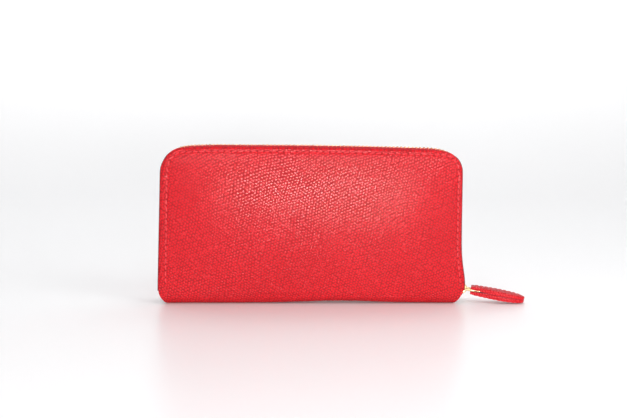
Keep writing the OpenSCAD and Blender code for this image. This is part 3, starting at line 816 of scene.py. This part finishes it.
def tab_x(t):
    """Distance from the pivot at the share t of the pull tab."""
    return TAB_START + (TAB_END - TAB_START) * t


def tab_height(across, t):
    """Height of a face of the pull above its middle plane, at a share of its half-width and length."""
    round_over = (1 - abs(across) ** 4) * smooth((1 - t) / 0.08) * smooth((t + 0.01) / 0.06)
    swell = math.sin(math.pi * min(1.0, 0.25 + 0.75 * t)) ** 0.8
    return TAB_T * (0.84 + 0.16 * round_over) + TAB_SWELL * swell


TAB_STEPS = [0, 0.03, 0.08, 0.15, 0.22, 0.3, 0.38, 0.46, 0.54, 0.62, 0.7, 0.78, 0.85, 0.9, 0.94, 0.97, 0.99,
             0.999]


def tab_layer(name, facing):
    """One leather of the pull, crowned on its outside and thin at its edge."""

    def place(u, v):
        return ON_PULL @ Vector((tab_x(v), u * facing * tab_half(v), facing * tab_height(u, v)))

    across = [-1, -0.96, -0.86, -0.7, -0.5, -0.25, 0, 0.25, 0.5, 0.7, 0.86, 0.96, 1]
    top = lattice(name, across, TAB_STEPS, place)
    pick(top)
    bpy.ops.object.mode_set(mode="EDIT")
    bpy.ops.mesh.select_all(action="SELECT")
    bpy.ops.mesh.extrude_region_move()
    bpy.ops.object.mode_set(mode="OBJECT")
    back = ON_PULL.inverted()
    for vertex in top.data.vertices:
        if vertex.select:
            local = back @ vertex.co
            local.z = facing * (0.15 * MM + 0.7 * MM * smooth((16 * MM - local.x) / (11 * MM)))
            vertex.co = ON_PULL @ local
    close_up(top)
    round_edges(top, 0.35 * MM, 2, 45)
    return top


def pull_tab():
    """The two leathers of the pull and the painted edge between them."""
    settle(tab_layer("pull_tab_top_leather", 1), "zip_pull", pull_leather, "outer_leather", "pull_tab_upper")
    settle(tab_layer("pull_tab_bottom_leather", -1), "zip_pull", pull_leather, "outer_leather",
           "pull_tab_lower")
    filler = lattice("pull_tab_painted_edge", spaced(-1, 1, 9), TAB_STEPS,
                     lambda u, v: ON_PULL @ Vector((tab_x(v) - 0.2 * MM, u * (tab_half(v) - 0.25 * MM), 0)))
    thicken(filler, 0.5 * MM, 0.0)
    settle(filler, "zip_pull", edge_paint_and_shade, "outer_leather")


def tab_stitching():
    """Stitches round both faces of the pull, set in from its edge."""
    inset = 1.5 * MM
    pitch = 3.0 * MM
    outline = [(tab_x(t), tab_half(t) - inset) for t in spaced(0.06, 0.93, 60)]
    outline = [p for p in outline if p[1] > 0]
    loop = outline + [(x, -w) for x, w in outline[::-1]]
    lengths = [0.0]
    for a, b in zip(loop, loop[1:]):
        lengths.append(lengths[-1] + math.dist(a, b))
    count = int(lengths[-1] / pitch)
    places = []
    for facing in (1, -1):
        for n in range(count):
            s = (n + 0.5) * lengths[-1] / count
            i = next(k for k in range(1, len(lengths)) if lengths[k] >= s) - 1
            share = (s - lengths[i]) / max(1e-9, lengths[i + 1] - lengths[i])
            a, b = Vector(loop[i]), Vector(loop[i + 1])
            here, along = a.lerp(b, share), (b - a).normalized()
            t = (here.x - TAB_START) / (TAB_END - TAB_START)
            lift = tab_height(min(1, abs(here.y) / tab_half(min(t, 0.99))), t) + 0.05 * MM
            turned = Matrix(((along.x, along.y, 0), (-along.y, along.x, 0), (0, 0, 1))).transposed().to_4x4()
            places.append(ON_PULL @ Matrix.Translation((here.x, here.y, facing * lift)) @ turned)
    stitch = rice_grain("pull_tab_stitches", length=2.3 * MM, width=0.6 * MM, height=0.45 * MM)
    row = repeated(stitch, places)
    settle(row, "zip_pull", thread, "thread", "pull_tab_stitching", angle=60)


# ---- Inside ----


def panel(name, low, high, thin, wave=0.0):
    """A sheet in X and Z between two corners, facing the middle, softly waved in Y."""
    mid = (low.y + high.y) / 2
    facing = -1 if mid > 0 else 1

    def place(u, v):
        ripple = wave * math.sin(3.1 * math.pi * u + 1.3) * v
        return Vector((low.x + (high.x - low.x) * u, mid + facing * ripple, low.z + (high.z - low.z) * v))

    us = spaced(0, 1, 25)
    piece = lattice(name, us if facing < 0 else us[::-1], spaced(0, 1, 13), place)
    thicken(piece, thin, 0.0)
    round_edges(piece, 0.35 * thin, 2, 50)
    return piece


def cover_lining(name, side):
    """Cloth on the inside of a cover, with the cover's round corners."""
    rows = [COVER_BOTTOM] + spaced(SPINE_DRAW_HEIGHT, CORNER_Z, 8)
    rows += [TOP - d * MM for d in (10, 7, 4, 2, 0.8, 0)]
    depth = (LINING_FACE + BOARD_FACE) / 2

    def place(u, v):
        x = u * row_half(rows[v]) * 0.998
        return relaxed((x, side * depth, rows[v]))

    piece = lattice(name + "_lining_cloth", columns()[::2], range(len(rows)), place)
    thicken(piece, 0.28 * MM, 0.0)
    settle(piece, name + "_cover", lining_cloth, "lining", name + "_cover_lining")


def cover_pockets(name, side):
    """Slip pocket and four card strips, each with a folded top edge and a stitched divider."""
    body = name + "_cover"
    upright = Matrix(((0, 0, 1), (1, 0, 0), (0, 1, 0))).transposed().to_4x4()
    level = Matrix(((1, 0, 0), (0, 0, 1), (0, -1, 0))).transposed().to_4x4()
    low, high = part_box(name + "_slip_pocket")
    settle(panel(name + "_slip_pocket_cloth", low, high, 0.45 * MM), body, lining_cloth, "lining",
           name + "_slip_pocket")
    seams = []
    for number in range(1, 5):
        node = name + "_card_strip_%d" % number
        low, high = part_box(node)
        strip = panel(node + "_leather", low, high, 0.5 * MM, wave=0.02 * MM)
        settle(strip, body, inner_leather, "inner_leather", node)
        fold_depth = (low.y + high.y) / 2
        fold = swept(node + "_folded_edge", rounded_section(0.3 * MM, 0.9 * MM, 0.22 * MM),
                     spaced(low.x + 0.3 * MM, high.x - 0.3 * MM, 30),
                     lambda x, p: Vector((x, fold_depth + p[0], high.z - 0.8 * MM + p[1])))
        settle(fold, body, inner_leather, "inner_leather")
        face = (low.y if side == BACK else high.y) - side * 0.02 * MM
        bottom = high.z - (9.0 * MM if number < 4 else 40 * MM)
        z = high.z - 3 * MM
        while z > bottom:
            seams.append(Matrix.Translation((0, face, z)) @ upright)
            z -= 3 * MM
        x = low.x + 2 * MM
        while x < high.x - 2 * MM:
            seams.append(Matrix.Translation((x, face, high.z - 2.4 * MM)) @ level)
            x += 3.2 * MM
    stitch = rice_grain(name + "_card_stitches", length=2.4 * MM, width=0.4 * MM, height=0.3 * MM)
    row = repeated(stitch, seams)
    settle(row, body, thread, "thread", angle=60)


def gusset(side_name, side, end_name, end):
    """Pleated cloth between the coin pocket and a cover: two leaves that meet in an inner fold."""
    node = "gusset_%s_%s" % (side_name, end_name)
    low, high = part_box(node)
    near, far = min(abs(low.y), abs(high.y)) + 0.3 * MM, max(abs(low.y), abs(high.y)) - 0.3 * MM
    edge = max(abs(low.x), abs(high.x))
    depth_top, depth_foot = high.x - low.x, 4 * MM

    def place(u, v):
        deep = depth_foot + (depth_top - depth_foot) * v
        inward = 1 - abs(u)
        soft = math.sqrt(inward ** 2 + 0.0004)
        x = edge - deep * soft
        y = (near + far) / 2 + u * (far - near) / 2
        return Vector((end * x, side * y, low.z + (high.z - low.z) * v))

    across = spaced(-1, 1, 25)
    piece = lattice(node + "_pleat", across, spaced(0, 1, 17), place)
    thicken(piece, 0.4 * MM, 0.0)
    settle(piece, None, lining_cloth, "lining", node)
    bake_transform(piece)


def coin_pocket():
    """The coin pocket's cloth and zip tapes, the spine's lining and the tabs over the main zip's ends."""
    for side_name in SIDES:
        node = "coin_pocket_%s_wall" % side_name
        low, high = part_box(node)
        settle(panel(node + "_cloth", low, high, 0.65 * MM), "spine", lining_cloth, "lining", node)
        node = "coin_zip_%s_tape" % side_name
        low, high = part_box(node)
        tape = block(node + "_woven", low, high, 0.12 * MM)
        settle(tape, "spine", tape_cloth, "zip_tape", node)
    for node in ("coin_pocket_floor", "coin_pocket_left_end", "coin_pocket_right_end", "spine_lining"):
        low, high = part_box(node)
        settle(block(node + "_cloth", low, high, 0.1 * MM), "spine", lining_cloth, "lining", node)
    for end_name in ("left", "right"):
        node = "zip_end_tab_" + end_name
        low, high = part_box(node)
        tab = block(node + "_leather", low, high, 0.3 * MM, 3)
        settle(tab, "spine", inner_leather, "inner_leather", node)


# ---- The whole object ----

for side_name, side in SIDES.items():
    cover_skin(side_name, side)
    edge_band(side_name, side)
    zip_tape(side_name, side)
    zip_teeth(side_name, side)
    cover_stitching(side_name, side)
    cover_lining(side_name, side)
    cover_pockets(side_name, side)
    for end_name, end in (("left", LEFT), ("right", RIGHT)):
        gusset(side_name, side, end_name, end)
slider()
slider_crown()
pull_link()
pull_tab()
tab_stitching()
coin_pocket()

for node, finish in {"spine_board": fibre_board, "front_cover_board": fibre_board,
                     "back_cover_board": fibre_board, "coin_zip_front_teeth": teeth_brass,
                     "coin_zip_back_teeth": teeth_brass, "coin_zip_stops": gold, "front_zip_stop": gold,
                     "back_zip_stop": gold, "coin_slider": gold, "coin_pull": gold}.items():
    frame["nodes"][node].data.materials.clear()
    frame["nodes"][node].data.materials.append(finish)

# ---- Floor, light and camera ----


def cove():
    """A white floor that curves up into a lit wall behind."""
    bend_y, bend_r = 0.9, 0.7
    stations = [(y, 0.0) for y in spaced(-3, bend_y, 9)]
    for a in spaced(0, math.pi / 2, 13)[1:]:
        stations.append((bend_y + bend_r * math.sin(a), bend_r * (1 - math.cos(a))))
    stations += [(bend_y + bend_r, z) for z in spaced(bend_r, 4, 5)[1:]]
    sheet = lattice("studio_cove", spaced(-4, 4, 9), stations,
                    lambda x, at: Vector((x, at[0], at[1] - 0.2 * MM)))
    pick(sheet)
    bpy.ops.object.shade_smooth()
    material, tree, shader = new_material("white_cove", Base_Color=(0.93, 0.93, 0.94, 1), Roughness=0.34,
                                          Specular_IOR_Level=0.3, Emission_Strength=1.0)
    height = add_node(tree, "ShaderNodeSeparateXYZ", {"Vector": object_place(tree)}).outputs["Z"]
    glow = ramp(tree, height, [(0.0, grey(0.05)), (0.4, grey(0.54))])
    tree.links.new(glow, shader.inputs["Emission Color"])
    sheet.data.materials.append(material)


def area_light(name, place, target, width, height, power):
    """A white rectangular lamp that faces its target."""
    data = bpy.data.lights.new(name, "AREA")
    data.shape = "RECTANGLE"
    data.size, data.size_y = width, height
    data.energy = power
    lamp = bpy.data.objects.new(name, data)
    lamp.location = place
    lamp.rotation_euler = (Vector(target) - Vector(place)).to_track_quat("-Z", "Y").to_euler()
    bpy.context.scene.collection.objects.link(lamp)


def studio():
    """The backdrop, the white surroundings and three soft lamps."""
    cove()
    bpy.context.scene.view_settings.view_transform = "Standard"
    world = bpy.data.worlds.new("studio_white")
    world.use_nodes = True
    world.node_tree.nodes["Background"].inputs["Color"].default_value = (1, 1, 1, 1)
    world.node_tree.nodes["Background"].inputs["Strength"].default_value = 0.39
    bpy.context.scene.world = world
    area_light("softbox_front", (0.055, -1.0, 0.085), (0, 0, 0.07), width=0.34, height=0.10, power=9.2)
    area_light("softbox_right", (0.5, -0.45, 0.45), (0, 0, 0.05), width=0.4, height=0.4, power=1.8)
    area_light("softbox_top", (0.0, 0.6, 1.8), (0, 0.4, 0), width=2.0, height=1.6, power=8)


def camera():
    """Eye level a little above the wallet, 600 mm in front of it, slightly to its left."""
    distance, yaw, roll = 0.600, math.radians(2), math.radians(0.33)
    front = Vector((1.9 * MM, -OUTER, 0))
    data = bpy.data.cameras.new("camera")
    data.sensor_width = 36
    data.lens = 53.8
    eye = bpy.data.objects.new("camera", data)
    eye.location = front + Vector((-distance * math.sin(yaw), -distance * math.cos(yaw), 110 * MM))
    aim = front + Vector((-0.65 * MM, 0, 61.8 * MM))
    level = (aim - eye.location).to_track_quat("-Z", "Y")
    eye.rotation_mode = "QUATERNION"
    eye.rotation_quaternion = level @ Quaternion((0, 0, 1), roll)
    bpy.context.scene.collection.objects.link(eye)
    bpy.context.scene.camera = eye


studio()
camera()
